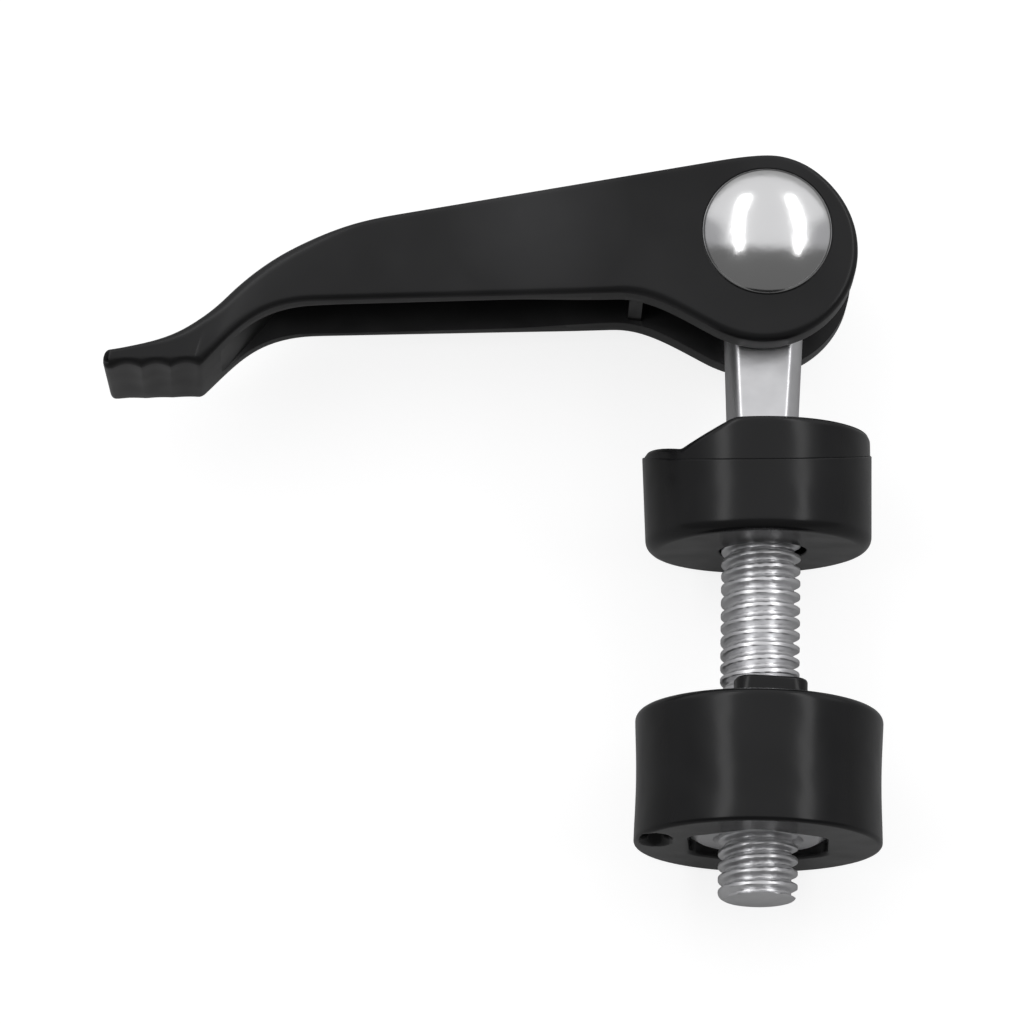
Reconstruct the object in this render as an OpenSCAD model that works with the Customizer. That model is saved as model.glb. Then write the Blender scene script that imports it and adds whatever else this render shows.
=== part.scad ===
/* [Cam lever] */
// Distance from the bolt's axis to the thumb tip of the closed lever
lever_length = 49.2; // [42:0.5:60]
// Width over the two cheeks
lever_w = 11; // [9.8:0.1:13]
// Width of the thumb tab
tab_w = 9.9; // [7:0.1:10]
// Thickness of the thumb tab at its tip
tab_t = 1.3; // [0.6:0.05:1.6]
// Depth of the finger grooves under the thumb tab
groove_depth = 0.2; // [0:0.02:0.4]
// Finger grooves under the thumb tab
groove_count = 3; // [2:1:6]
// Smallest radius of the cam, which faces the seat when the lever is open
cam_low_r = 6.03; // [5.5:0.01:6.4]
// Largest radius of the cam, which faces the seat when the lever is closed
cam_high_r = 8.42; // [7.4:0.02:9.2]
// Slope of the arm's top edge
arm_top_slope = 11.15; // [9:0.05:12.5]
// Slope of the arm's open underside
arm_under_slope = 2.9; // [1:0.1:5]
// Height of the arm's top edge over the pivot, measured on the bolt's axis
arm_top_h = 6.25; // [5.8:0.01:6.8]
// Depth of the arm's underside below the pivot, measured on the bolt's axis
arm_under_h = 4.32; // [3:0.02:4.6]
// Depth of the thumb tip's underside below the pivot
tab_drop = 11.34; // [9.5:0.02:12]
// Slope of the thumb tab's underside
tab_slope = 2.2; // [0:0.1:6]
// Thickness of the arm's top web
web_t = 1.4; // [1:0.1:2.6]
// Thickness of the arm's side walls
wall_t = 1.5; // [1.2:0.1:2.4]
// Thickness of each cheek beside the bolt's eye
cheek_t = 2.4; // [1.8:0.1:2.6]
// Distance from the bolt's axis to the cross rib of the arm
rib_x = 9.6; // [8.6:0.1:12]
// Thickness of the cross rib
rib_t = 1; // [0.8:0.1:2]

/* [Pivot rivet] */
// Diameter of the rivet's shank
rivet_d = 4; // [3:0.1:4.6]
// Diameter of the domed head
dome_d = 9.6; // [7.5:0.1:10.5]
// Height of the domed head
dome_h = 2.1; // [1.2:0.1:2.8]
// Diameter of the closed head on the far side
closed_head_d = 7.2; // [6:0.1:9]
// Height of the closed head
closed_head_h = 1.2; // [0.8:0.1:2]

/* [Eye bolt] */
// Height of the pivot over the seat's clamp face
pivot_h = 23.1; // [21:0.1:30]
// Outside diameter of the thread
thread_d = 5.9; // [5:0.1:6]
// Length of bolt below the seat's clamp face
bolt_low_length = 26.6; // [24:0.1:36]
// Length of thread above the seat's clamp face
thread_top_length = 4; // [1:0.1:7]
// Diameter of the plain shank
shank_d = 5.36; // [4.6:0.02:5.8]
// Width of the neck where it joins the eye
neck_w = 6.15; // [5.4:0.05:6.3]
// Thickness of the flattened eye and neck
eye_t = 4.2; // [3.4:0.1:5]
// Outside diameter of the eye
eye_d = 9; // [8:0.1:9.6]
// Height over the clamp face where the neck's flats run out
flat_end_h = 9.4; // [8.6:0.1:12]
// Chamfer at the bolt's end
end_chamfer = 0.5; // [0.1:0.05:0.8]

/* [Cam seat] */
// Diameter of the cam seat
seat_d = 17.1; // [14:0.1:20]
// Distance from the bolt's axis to the middle of the seat's rim
seat_offset = 0.3; // [0:0.05:0.6]
// Height of the cam seat
seat_h = 8.5; // [6.5:0.05:8.8]
// Diameter of its bore
seat_bore_d = 7; // [6.2:0.1:7.4]
// Depth of the notch across the top
notch_depth = 1.9; // [0:0.05:3]
// Distance from the bolt's axis to the bottom of the notch
notch_x = 6.4; // [5:0.1:7.2]
// Slope of the notch's inner flank
notch_slope = 26; // [20:1:40]
// Slope of the notch's outer flank
notch_lip_slope = 35; // [20:1:45]

/* [Clamp knob] */
// Diameter of the knob
knob_d = 18.4; // [15.5:0.1:22]
// Height of the knob
knob_h = 10; // [8:0.1:14]
// Gap between the seat's clamp face and the knob's, as the photograph shows it
clamp_gap = 12.55; // [8:0.05:13]
// Diameter of the knob's bore
knob_bore_d = 6.3; // [6.1:0.1:7]
// Width of the two locating lugs
lug_w = 5.4; // [4:0.1:5.8]
// Distance over the two locating lugs
lug_span = 8; // [7.4:0.1:10]
// Height of the locating lugs
lug_h = 2.1; // [1:0.1:3]
// Angle of the lugs about the bolt, as found
lug_turn = 10; // [-30:1:30]
// Rounding of the lugs' upright corners
lug_corner_r = 0.9; // [0.2:0.1:1.4]
// Rounding of the knob's upper rim and of both rims of the seat
edge_r = 0.7; // [0.2:0.05:1]
// Rounding of the knob's lower rim
low_edge_r = 0.35; // [0.1:0.05:1]

/* [Hex nut] */
// Width of the nut across its flats
nut_af = 10; // [9:0.1:11]
// Height of the nut
nut_h = 5; // [4:0.1:6]
// Depth of the nut below the knob's lower face
nut_recess = 0.2; // [0:0.05:0.6]
// Angle of the nut about the bolt, as found
nut_turn = -3; // [-30:1:30]

/* [Fits] */
// Radial clearance of the rivet in the bolt's eye
pivot_play = 0.06; // [0.02:0.01:0.1]
// Radial clearance of the rivet in the cheeks
rivet_play = 0.02; // [0.01:0.01:0.05]
// Clearance of the eye between the lever's inner bosses, on each side
eye_play = 0.1; // [0.05:0.05:0.3]
// Clearance of the eye's rim inside the lever's head
rim_play = 0.35; // [0.2:0.05:0.6]
// Radial clearance of the nut on the thread
thread_play = 0.05; // [0.02:0.01:0.1]
// Clearance round the nut in its pocket
pocket_play = 0.15; // [0.05:0.05:0.4]

/* [Hidden] */
$fn = 96;
moulding = [0.13, 0.13, 0.14];
zinc = [0.75, 0.76, 0.78];
polished = [0.85, 0.86, 0.88];
eps = 0.01;
past = 1;                                  // how far a cut runs past the face it opens
cam_rise_from = 52;                        // angles about the pivot between which the cam rises
cam_rise_to = -100;
cam_end = -118;                            // angle where the cam runs into the arm's knee
cam_top = 82;                              // angle where the arm's top edge meets the cam
tail_l = 15.6;                             // length of the curved tail, from the thumb tip
tab_l = 7.25;                              // length of the thumb tab under its root
knee_l = 11.2;                             // distance from the axis to the end of the knee
tail_top_l = 21.5;                         // distance from the tip to the straight top edge
bend_l = 9.1;                              // distance from the tip to the tail's bend
bend_drop = 5.66;                          // depth of the tail's bend below the pivot
tail_angle = 46;                           // steepest slope of the tail's top edge
tip_angle = 9.5;                           // slope of the thumb tab's top edge
root_angle = 46;                           // slope of the tail's inside where the tab begins
tab_tip_pull = 3.8;                        // how far each curve keeps its end's direction
tab_bend_pull = 4;
tail_bend_pull = 2;
tail_arm_pull = 6.8;
inside_arm_pull = 4.6;
inside_root_pull = 3.4;
crown_arm_pull = 1.4;
crown_cam_pull = 1.2;
knee_cam_pull = 3.2;
knee_arm_pull = 2.6;
crown_l = 3.8;                             // distance from the axis to the crown's curve
tip_round = 0.25;                          // rounding of the thumb tip, seen from the side
groove_from = 1.1;                         // distance from the tip to the first groove
taper_from = 10;                           // the plan taper, measured from the thumb tip
taper_to = 6.6;
tip_corner = 0.6;
boss_d = rivet_d + 4;
stop_h = neck_w / 2 + 0.2;                 // face of the web that stops the open lever
head_slot_r = eye_d / 2 + rim_play;
shank_flare = 1.3;                         // length over which the flats run out
neck_overlap = 0.2;                        // how far the neck runs into the eye
bore_chamfer = 0.3;                         // at the seat's bore, in its clamp face
knob_top = -clamp_gap;
nut_bottom = knob_top - knob_h + nut_recess;
pocket_af = nut_af + 2 * pocket_play;
nut_chamfer_angle = 30;

function point_on(r, a) = r * [cos(a), sin(a)];
function heading(a) = [cos(a), sin(a)];
function arc(r, a0, a1, n) = [for (i = [0:n]) point_on(r, a0 + (a1 - a0) * i / n)];
function bezier(p, n) = [for (i = [0:n]) let (t = i / n, u = 1 - t)
    u * u * u * p[0] + 3 * u * u * t * p[1] + 3 * u * t * t * p[2] + t * t * t * p[3]];
function ease(t) = t * t * (3 - 2 * t);
function back(v) = [for (i = [len(v) - 1:-1:0]) v[i]];

// The lever's outline is drawn about the pivot, with the arm towards -X
function top_y(x) = arm_top_h + x * tan(arm_top_slope);
function under_y(x) = -arm_under_h + x * tan(arm_under_slope);
function on_top(x) = [x, top_y(x)];
function on_under(x) = [x, under_y(x)];
function cam_r(a) = cam_low_r + (cam_high_r - cam_low_r)
    * ease((cam_rise_from - a) / (cam_rise_from - cam_rise_to));
tip_x = -lever_length;
tab_y = -tab_drop;
bend = [tip_x + bend_l, -bend_drop];
tail_top = on_top(tip_x + tail_top_l);
tail_under = on_under(tip_x + tail_l);
tab_root = [tip_x + tab_l, tab_y + tab_l * tan(tab_slope)];
tip_top = [tip_x + tip_round, tab_y + tab_t + tip_round * tan(tip_angle)];

function tail_curve(n) = bezier([bend, bend + tail_bend_pull * heading(tail_angle),
    tail_top - tail_arm_pull * heading(arm_top_slope), tail_top], n);
function tab_curve(n) = bezier([tip_top, tip_top + tab_tip_pull * heading(tip_angle),
    bend - tab_bend_pull * heading(tail_angle), bend], n);
function crown(n) = let (meet = point_on(cam_low_r, cam_top))
    bezier([on_top(-crown_l), on_top(-crown_l + crown_arm_pull),
        meet - crown_cam_pull * heading(cam_top - 90), meet], n);
function cam_curve() = concat(arc(cam_low_r, cam_top - 4, cam_rise_from, 6),
    [for (a = [cam_rise_from - 4:-4:cam_rise_to]) point_on(cam_r(a), a)],
    arc(cam_high_r, cam_rise_to - 4, cam_end, 4));
function knee(n) = let (end = point_on(cam_high_r, cam_end))
    bezier([end, end - knee_cam_pull * heading(cam_end + 90),
        on_under(-knee_l) + knee_arm_pull * heading(arm_under_slope), on_under(-knee_l)], n);
function tail_inside(n) = bezier([tail_under, tail_under - inside_arm_pull * heading(arm_under_slope),
    tab_root + inside_root_pull * heading(root_angle), tab_root], n);
// Height over the thumb tip's underside at a distance from the tip
function groove_y(d) = d * tan(tab_slope)
    + groove_depth * abs(sin(180 * groove_count * max(0, d - groove_from) / (tab_l - groove_from)));
function tab_under(n) = [for (i = [n - 1:-1:0]) let (d = tip_round + (tab_l - tip_round) * i / n)
    [tip_x + d, tab_y + groove_y(d)]];
function shifted(v, d) = [for (i = [0:len(v) - 1])
    let (a = v[max(i - 1, 0)], b = v[min(i + 1, len(v) - 1)], s = (b - a) / norm(b - a))
    v[i] + d * [s[1], -s[0]]];

module lever_outline() {
    polygon(concat(tab_curve(10), tail_curve(12), crown(5), cam_curve(), knee(8),
        tail_inside(10), tab_under(12 * groove_count), [[tip_x, tab_y + tip_round], [tip_x, tip_top[1] - tip_round]]));
}

// The lever seen from above, drawn in from its sides by a distance
module lever_plan(inset) {
    half = lever_w / 2 - inset;
    tab_half = tab_w / 2 - inset;
    back_x = cam_high_r + past;
    side = [[tip_x + taper_to, tab_half], [tip_x + taper_from, half], [back_x, half]];
    tip = [[tip_x - eps, tab_half - tip_corner - inset], [tip_x + tip_corner, tab_half]];
    edge = concat(tip, side);
    polygon(concat(edge, back([for (p = edge) [p[0], -p[1]]])));
}

module upright() {
    rotate([90, 0, 0])
    linear_extrude(height = 4 * cam_high_r + 2 * lever_length, center = true)
        children();
}

module across(width) {
    linear_extrude(height = width, center = true)
        children();
}

// The hollow of the arm, from the tail to the cross rib, open underneath
module arm_channel() {
    end_x = -rib_x - rib_t / 2;
    ceiling = concat(shifted(tail_curve(12), web_t),
        [[end_x, top_y(end_x) - web_t / cos(arm_top_slope)]]);
    floor_y = tab_y - past;
    intersection() {
        across(lever_w)
            polygon(concat([[ceiling[0][0], floor_y]], ceiling, [[end_x, floor_y]]));
        upright()
            lever_plan(wall_t);
    }
}

// The slot that the bolt's eye turns in, open from the stop face round to the rib
module head_slot() {
    from_x = -rib_x + rib_t / 2;
    low_y = -cam_high_r - past;
    far_x = cam_high_r + past;
    roof = on_top(from_x)[1] - web_t / cos(arm_top_slope);
    across(lever_w - 2 * cheek_t) {
        circle(r = head_slot_r);
        polygon([[from_x, low_y], [from_x, roof], [-head_slot_r / 2, stop_h],
            [far_x, stop_h], [far_x, low_y]]);
    }
}

module boss_pair() {
    inner = eye_t / 2 + eye_play;
    outer = lever_w / 2 - cheek_t + eps;
    for (side = [-1, 1])
        translate([0, 0, side > 0 ? inner : -outer])
            cylinder(h = outer - inner, d = boss_d);
}

module cam_lever() {
    color(moulding)
    translate([0, pivot_h, 0])
    difference() {
        union() {
            difference() {
                intersection() {
                    across(lever_w)
                        lever_outline();
                    upright()
                        lever_plan(0);
                }
                arm_channel();
                head_slot();
            }
            boss_pair();
        }
        cylinder(h = lever_w + 2 * past, r = rivet_d / 2 + rivet_play, center = true);
    }
}

module pivot_rivet() {
    seat_z = lever_w / 2;
    dome_r = (dome_h * dome_h + dome_d * dome_d / 4) / (2 * dome_h);
    color(polished)
    translate([0, pivot_h, 0]) {
        translate([0, 0, -seat_z - closed_head_h / 2])
            cylinder(h = lever_w + closed_head_h, d = rivet_d);
        translate([0, 0, seat_z])
            intersection() {
                translate([0, 0, dome_h - dome_r])
                    sphere(r = dome_r);
                cylinder(h = dome_h, d = dome_d);
            }
        translate([0, 0, -seat_z - closed_head_h]) {
            cylinder(h = closed_head_h / 2, d1 = closed_head_d - closed_head_h, d2 = closed_head_d);
            translate([0, 0, closed_head_h / 2])
                cylinder(h = closed_head_h / 2, d = closed_head_d);
        }
    }
}

// Stands a shape that was drawn along +Z on the bolt's axis, at a height
module on_bolt(height) {
    translate([0, height, 0])
        rotate([-90, 0, 0])
            children();
}

module eye_bolt() {
    neck_top = pivot_h - sqrt(pow(eye_d / 2, 2) - pow(neck_w / 2, 2)) + neck_overlap;
    thread_r = thread_d / 2;
    lead = (thread_d - shank_d) / 2;
    color(zinc)
    difference() {
        union() {
            intersection() {
                union() {
                    on_bolt(flat_end_h)
                        cylinder(h = neck_top - flat_end_h, d1 = shank_d, d2 = neck_w);
                    translate([0, pivot_h, -eye_t / 2])
                        cylinder(h = eye_t, d = eye_d);
                    on_bolt(thread_top_length)
                        cylinder(h = flat_end_h - thread_top_length, d = shank_d);
                }
                rotate([0, 90, 0])
                    across(2 * eye_d)
                        polygon([[shank_d, thread_top_length], [shank_d, flat_end_h - shank_flare],
                            [eye_t / 2, flat_end_h], [eye_t / 2, pivot_h + eye_d],
                            [-eye_t / 2, pivot_h + eye_d], [-eye_t / 2, flat_end_h],
                            [-shank_d, flat_end_h - shank_flare], [-shank_d, thread_top_length]]);
            }
            on_bolt(-bolt_low_length + end_chamfer)
                cylinder(h = bolt_low_length + thread_top_length - lead - end_chamfer, d = thread_d);
            on_bolt(thread_top_length - lead)
                cylinder(h = lead, r1 = thread_r, r2 = thread_r - lead);
            on_bolt(-bolt_low_length)
                cylinder(h = end_chamfer, r1 = thread_r - end_chamfer, r2 = thread_r);
        }
        translate([0, pivot_h, 0])
            cylinder(h = 2 * eye_t, r = rivet_d / 2 + pivot_play, center = true);
    }
}

// Half section of a moulded disc, with the roundings of its lower and upper edges
function disc_section(d, h, low_r, high_r) = concat(
    [[0, 0]],
    [for (a = [-90:15:0]) [d / 2 - low_r + low_r * cos(a), low_r + low_r * sin(a)]],
    [for (a = [0:15:90]) [d / 2 - high_r + high_r * cos(a), h - high_r + high_r * sin(a)]],
    [[0, h]]);

module cam_seat() {
    inner = [-notch_x + notch_depth / tan(notch_slope), seat_h];
    outer = [-notch_x - notch_depth / tan(notch_lip_slope), seat_h];
    bottom = [-notch_x, seat_h - notch_depth];
    grow_in = past * heading(notch_slope);
    grow_out = past * heading(180 - notch_lip_slope);
    bore_r = seat_bore_d / 2;
    color(moulding)
    difference() {
        translate([-seat_offset, 0, 0])
            on_bolt(0)
                rotate_extrude()
                    polygon(disc_section(seat_d, seat_h, edge_r, edge_r));
        on_bolt(-past)
            cylinder(h = seat_h + 2 * past, r = bore_r);
        on_bolt(-eps)
            cylinder(h = bore_chamfer + eps, r1 = bore_r + bore_chamfer + eps, r2 = bore_r);
        across(2 * seat_d)
            polygon([bottom, inner + grow_in, outer + grow_out]);
    }
}

module hex_bar(af, height) {
    rotate([0, 0, 30])
        cylinder(h = height, d = af / cos(30), $fn = 6);
}

module rounded_bar(w, l, r) {
    square([w - 2 * r, l], center = true);
    square([w, l - 2 * r], center = true);
    for (x = [-1, 1], y = [-1, 1])
        translate([x * (w / 2 - r), y * (l / 2 - r)])
            circle(r = r);
}

module clamp_knob() {
    low = knob_top - knob_h;
    pocket_top = nut_bottom + nut_h;
    color(moulding)
    difference() {
        union() {
            on_bolt(low)
                rotate_extrude()
                    polygon(disc_section(knob_d, knob_h, low_edge_r, edge_r));
            on_bolt(knob_top - eps)
                rotate([0, 0, -lug_turn])
                    linear_extrude(height = lug_h + eps)
                        rounded_bar(lug_w, lug_span, lug_corner_r);
        }
        on_bolt(low - past)
            cylinder(h = knob_h + lug_h + 2 * past, d = knob_bore_d);
        on_bolt(low - past)
            rotate([0, 0, -nut_turn])
                hex_bar(pocket_af, pocket_top - low + past);
    }
}

// Half section that trims a hexagon's corners at both ends, as a nut's chamfer does
module chamfer_blank(af, h) {
    face_r = af / 2 - 0.1;
    wide = af / cos(30) / 2 + past;
    rise = (wide - face_r) * tan(nut_chamfer_angle);
    rotate_extrude()
        polygon([[0, 0], [face_r, 0], [wide, rise], [wide, h - rise], [face_r, h], [0, h]]);
}

module knob_nut() {
    color(zinc)
    on_bolt(nut_bottom)
    difference() {
        intersection() {
            rotate([0, 0, -nut_turn])
                hex_bar(nut_af, nut_h);
            chamfer_blank(nut_af, nut_h);
        }
        translate([0, 0, -past])
            cylinder(h = nut_h + 2 * past, r = thread_d / 2 + thread_play);
    }
}

cam_lever();
pivot_rivet();
eye_bolt();
cam_seat();
clamp_knob();
knob_nut();
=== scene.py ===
"""Looks of a cam lever clamp for a folding handle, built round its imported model.

Every shape is a surface worked out with numpy, in metres and in the model's own frame: +Y runs up
the bolt to the lever's pivot, +Z along the rivet to its domed head, and the lever points to -X.
"""

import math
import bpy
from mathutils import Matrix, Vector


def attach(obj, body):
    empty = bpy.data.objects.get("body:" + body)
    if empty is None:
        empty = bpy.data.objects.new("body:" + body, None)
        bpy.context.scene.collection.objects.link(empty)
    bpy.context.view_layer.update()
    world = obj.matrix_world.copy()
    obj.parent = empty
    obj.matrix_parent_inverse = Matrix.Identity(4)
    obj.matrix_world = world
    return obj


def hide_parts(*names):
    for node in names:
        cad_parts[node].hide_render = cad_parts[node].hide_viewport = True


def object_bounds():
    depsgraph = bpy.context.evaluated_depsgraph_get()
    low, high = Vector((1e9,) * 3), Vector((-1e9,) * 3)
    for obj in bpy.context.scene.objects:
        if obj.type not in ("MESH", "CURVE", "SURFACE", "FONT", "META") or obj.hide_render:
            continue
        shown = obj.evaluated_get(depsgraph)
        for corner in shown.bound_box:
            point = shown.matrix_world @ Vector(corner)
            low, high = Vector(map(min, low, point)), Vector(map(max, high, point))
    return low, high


bl_info = {
    "name": "Cam Lever Clamp",
    "version": (1, 0, 0),
    "blender": (4, 5, 0),
    "location": "View3D > Sidebar > Clamp",
    "description": "Builds the lever, rivet, eye bolt, cam seat, knob and nut of a handle clamp",
    "category": "Add Mesh",
}

import bmesh
import bpy
import numpy as np
from bpy.props import FloatProperty, FloatVectorProperty, IntProperty, PointerProperty
from mathutils import Matrix, Vector

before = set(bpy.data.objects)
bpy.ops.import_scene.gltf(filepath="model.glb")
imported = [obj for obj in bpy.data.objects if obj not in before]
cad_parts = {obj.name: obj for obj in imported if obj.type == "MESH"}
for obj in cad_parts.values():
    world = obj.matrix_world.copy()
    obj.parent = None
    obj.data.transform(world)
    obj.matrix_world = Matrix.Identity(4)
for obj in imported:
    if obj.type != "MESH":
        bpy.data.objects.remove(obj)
CAD_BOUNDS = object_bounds()
MM = 0.001
CREASE = math.radians(35)
SHARP = math.radians(30)


def length(name, description, millimetres):
    return FloatProperty(name=name, description=description, default=millimetres * MM,
                         unit="LENGTH", precision=5)


def angle(name, description, degrees):
    return FloatProperty(name=name, description=description, default=math.radians(degrees),
                         subtype="ANGLE")


def amount(name, description, value):
    return FloatProperty(name=name, description=description, default=value)


def colour(name, description, rgb):
    return FloatVectorProperty(name=name, description=description, default=rgb, size=3,
                               subtype="COLOR", min=0, max=1)


class LeverSizes(bpy.types.PropertyGroup):
    reach: length("Reach", "Bolt's axis to thumb tip", 49.2)
    width: length("Width", "Over the two cheeks", 11)
    tab_width: length("Tab width", "Width of the thumb tab", 9.9)
    tab_thickness: length("Tab thickness", "Thickness at the thumb tip", 1.3)
    tab_slope: angle("Tab slope", "Rise of the tab's underside towards the bolt", 2.2)
    groove_depth: length("Groove depth", "Depth of the finger grooves at the near edge", 0.3)
    grooves: IntProperty(name="Grooves", description="Finger grooves under the tab",
                         default=3, min=1)
    cam_low: length("Cam low radius", "Radius that faces the seat when open", 6.03)
    cam_high: length("Cam high radius", "Radius that faces the seat when closed", 8.42)
    top_slope: angle("Top slope", "Slope of the arm's top edge", 11.15)
    under_slope: angle("Under slope", "Slope of the arm's open underside", 2.9)
    top_height: length("Top height", "Arm's top edge over the pivot", 6.25)
    under_depth: length("Under depth", "Arm's underside below the pivot", 4.32)
    tab_drop: length("Tab drop", "Tab's underside below the pivot, at the tip", 11.34)
    web: length("Web", "Thickness of the arm's top web", 1.4)
    wall: length("Wall", "Thickness of the arm's side walls", 1.5)
    wall_root: length("Wall at the rib", "Thickness of the side walls at the cross rib", 2.3)
    cheek: length("Cheek", "Thickness of a cheek beside the eye", 2.4)
    rib_place: length("Rib place", "Bolt's axis to the cross rib", 9.6)
    rib: length("Rib", "Thickness of the cross rib", 1)
    rib_recess: length("Rib recess", "Depth of the rib's edge inside the channel", 0.35)
    edge: length("Edge", "Rounding of the lever's long edges", 0.5)
    tab_edge: length("Tab edge", "Rounding of the tab's near lower edge", 0.75)
    tail_edge: length("Tail edge", "Rounding of the tail's near upper edge", 0.9)
    lip: length("Lip", "Rounding of the channel's lips", 0.28)
    lean: angle("Lean", "Lean of the tail's side above its ridge", 2)
    skew: length("Skew", "How far the thumb tip falls back on its far side", 0.37)
    head_skew: length("Head skew", "How far the far cheek stands back from the near one", 0.19)


class RivetSizes(bpy.types.PropertyGroup):
    shank: length("Shank", "Diameter of the shank", 4)
    dome: length("Dome", "Diameter of the domed head", 9.6)
    dome_height: length("Dome height", "Height of the domed head", 2.1)
    rim: length("Rim", "Height of the dome's upright rim", 0.1)
    gap: length("Gap", "Gap round the dome in the lever", 0.12)
    sunk: length("Sunk", "Depth to which the dome's rim sinks into the lever", 0.16)
    closed_head: length("Closed head", "Diameter of the far head", 7.2)
    closed_height: length("Closed height", "Height of the far head", 1.2)


class BoltSizes(bpy.types.PropertyGroup):
    pivot_height: length("Pivot height", "Pivot over the seat's clamp face", 23.1)
    thread: length("Thread", "Outside diameter of the thread", 5.9)
    root: length("Root", "Diameter at the bottom of the thread", 4.95)
    pitch: length("Pitch", "Rise of the thread in one turn", 1)
    phase: amount("Phase", "Part of a turn by which the thread is set round", 0.35)
    drop: length("Drop", "Length below the seat's clamp face", 26.6)
    thread_rise: length("Thread rise", "Thread above the clamp face", 4)
    shank: length("Shank", "Diameter of the plain shank", 5.36)
    neck: length("Neck", "Width of the neck at the eye", 6.15)
    eye_thickness: length("Eye thickness", "Thickness of eye and neck", 4.2)
    eye: length("Eye", "Outside diameter of the eye", 9)
    neck_from: length("Neck from", "Height from which the neck widens", 9.4)
    bevel: angle("Bevel", "Slope of the neck's pressed right edge", 21)
    bevel_place: length("Bevel place", "Bolt's axis to the bevel's inner edge", 2.0)
    bore_play: length("Bore play", "Radial play of the rivet in the eye", 0.06)


class SeatSizes(bpy.types.PropertyGroup):
    diameter: length("Diameter", "Diameter of the cam seat", 17.1)
    offset: length("Offset", "Bolt's axis to the middle of the seat's rim", 0.3)
    height: length("Height", "Height of the cam seat", 8.5)
    bore: length("Bore", "Diameter of the bore", 6.5)
    edge: length("Edge", "Rounding of the upper edge", 0.45)
    low_edge: length("Low edge", "Rounding of the lower edge", 0.9)
    notch_depth: length("Notch depth", "Depth of the notch across the top", 1.9)
    notch_place: length("Notch place", "Bolt's axis to the notch's bottom", 6.15)
    notch_slope: angle("Notch slope", "Slope of the notch's inner flank", 26)
    lip_slope: angle("Lip slope", "Slope of the notch's outer flank", 18)
    parting: length("Parting", "Height of the mould's parting line at the front", 5.15)
    parting_rise: length("Parting rise", "How far the parting line rises at the sides", 2.1)
    step: length("Step", "Step at the parting line", 0.1)
    draft: length("Draft", "How much narrower each side is at the lower face", 0.16)
    sag: length("Sag", "How far the loose seat hangs below its place", 0.1)
    near_lean: angle("Near lean", "Tilt of the loose seat, near side down", 2)
    side_lean: angle("Side lean", "Tilt of the loose seat, left side down", 1.7)


class KnobSizes(bpy.types.PropertyGroup):
    diameter: length("Diameter", "Diameter of the knob", 18.4)
    height: length("Height", "Height of the knob", 10)
    gap: length("Gap", "Gap between the two clamp faces", 12.55)
    bore: length("Bore", "Diameter of the bore", 6.3)
    edge: length("Edge", "Rounding of the upper edge", 0.7)
    low_edge: length("Low edge", "Rounding of the lower edge", 0.35)
    waist: length("Waist", "How far the side draws in at half height", 0.13)
    gate: length("Gate", "Depth of the gate mark in the lower face", 1.6)
    lug_width: length("Lug width", "Width of the locating lugs", 5.4)
    lug_span: length("Lug span", "Distance over the locating lugs", 8)
    lug_height: length("Lug height", "Height of the locating lugs", 2.1)
    lug_corner: length("Lug corner", "Rounding of the lugs' upright corners", 1.3)
    lug_place: length("Lug place", "Bolt's axis to the middle of the lugs", 0.3)
    lug_turn: angle("Lug turn", "Turn of the lugs about the bolt", 10)
    nut: length("Nut", "Nut across its flats", 10)
    nut_height: length("Nut height", "Height of the nut", 5)
    nut_recess: length("Nut recess", "Nut's face below the knob's", 0.5)
    nut_turn: angle("Nut turn", "Turn of the nut about the bolt", -3)
    nut_bore: length("Nut bore", "Diameter of the nut's bore", 6)
    pocket_play: length("Pocket play", "Room round the nut", 0.08)
    pocket_corner: length("Pocket corner", "Rounding of the pocket's corners", 1.8)
    pocket_rim: length("Pocket rim", "Rounding of the pocket's rim", 0.3)


class Finishes(bpy.types.PropertyGroup):
    moulding: colour("Moulding", "Colour of the black moulding", (0.004, 0.004, 0.0042))
    # Colour of the random haze and wear, and also of the lever's painted highlight spot.
    moulding_haze_and_sheen: colour("Moulding, worn", "Colour where the moulding is hazy",
                          (0.035, 0.035, 0.036))
    zinc: colour("Zinc", "Colour of the plated steel", (0.9, 0.9, 0.91))
    zinc_dull: colour("Zinc, dull", "Colour of the duller plating", (0.72, 0.72, 0.73))
    polished: colour("Polished", "Colour of the polished head", (0.9, 0.9, 0.9))
    paper: colour("Paper", "Colour of floor and backdrop", (0.36, 0.36, 0.36))


class ViewSizes(bpy.types.PropertyGroup):
    tilt: angle("Tilt", "Camera's tilt from +Z towards -Y at the aim", 14.41)
    swing: angle("Swing", "Camera's swing from +Z towards -X at the aim", 0.69)
    roll: angle("Roll", "Camera's roll", 1.0)
    distance: length("Distance", "Camera to aim", 654.7)
    aim: FloatVectorProperty(name="Aim", description="Point at the middle of the picture", size=3,
                             default=(-18.57 * MM, 2.53 * MM, 0), subtype="XYZ", unit="LENGTH")
    lens: amount("Lens", "Focal length in millimetres", 309.3)


def sizes(kind):
    return getattr(bpy.context.scene, "clamp_" + kind)


# Curves


def heading(a):
    return np.array([math.cos(a), math.sin(a)])


def bezier(points, n):
    """Cubic curve: each control point's share is its Bernstein weight at t from 0 to 1."""
    t = np.linspace(0, 1, n)[:, None]
    a, b, c, d = (np.asarray(p, float) for p in points)
    return (1 - t) ** 3 * a + 3 * (1 - t) ** 2 * t * b + 3 * (1 - t) * t * t * c + t ** 3 * d


def arc(radius, start, end, n):
    """Points on a circle of one radius, from a start to an end angle."""
    a = np.linspace(start, end, n)
    r = np.broadcast_to(radius, a.shape)
    return np.stack([r * np.cos(a), r * np.sin(a)], axis=1)


def ease(t):
    """Cubic step from 0 to 1 with level ends, held outside them."""
    t = np.clip(t, 0, 1)
    return t * t * (3 - 2 * t)


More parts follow.
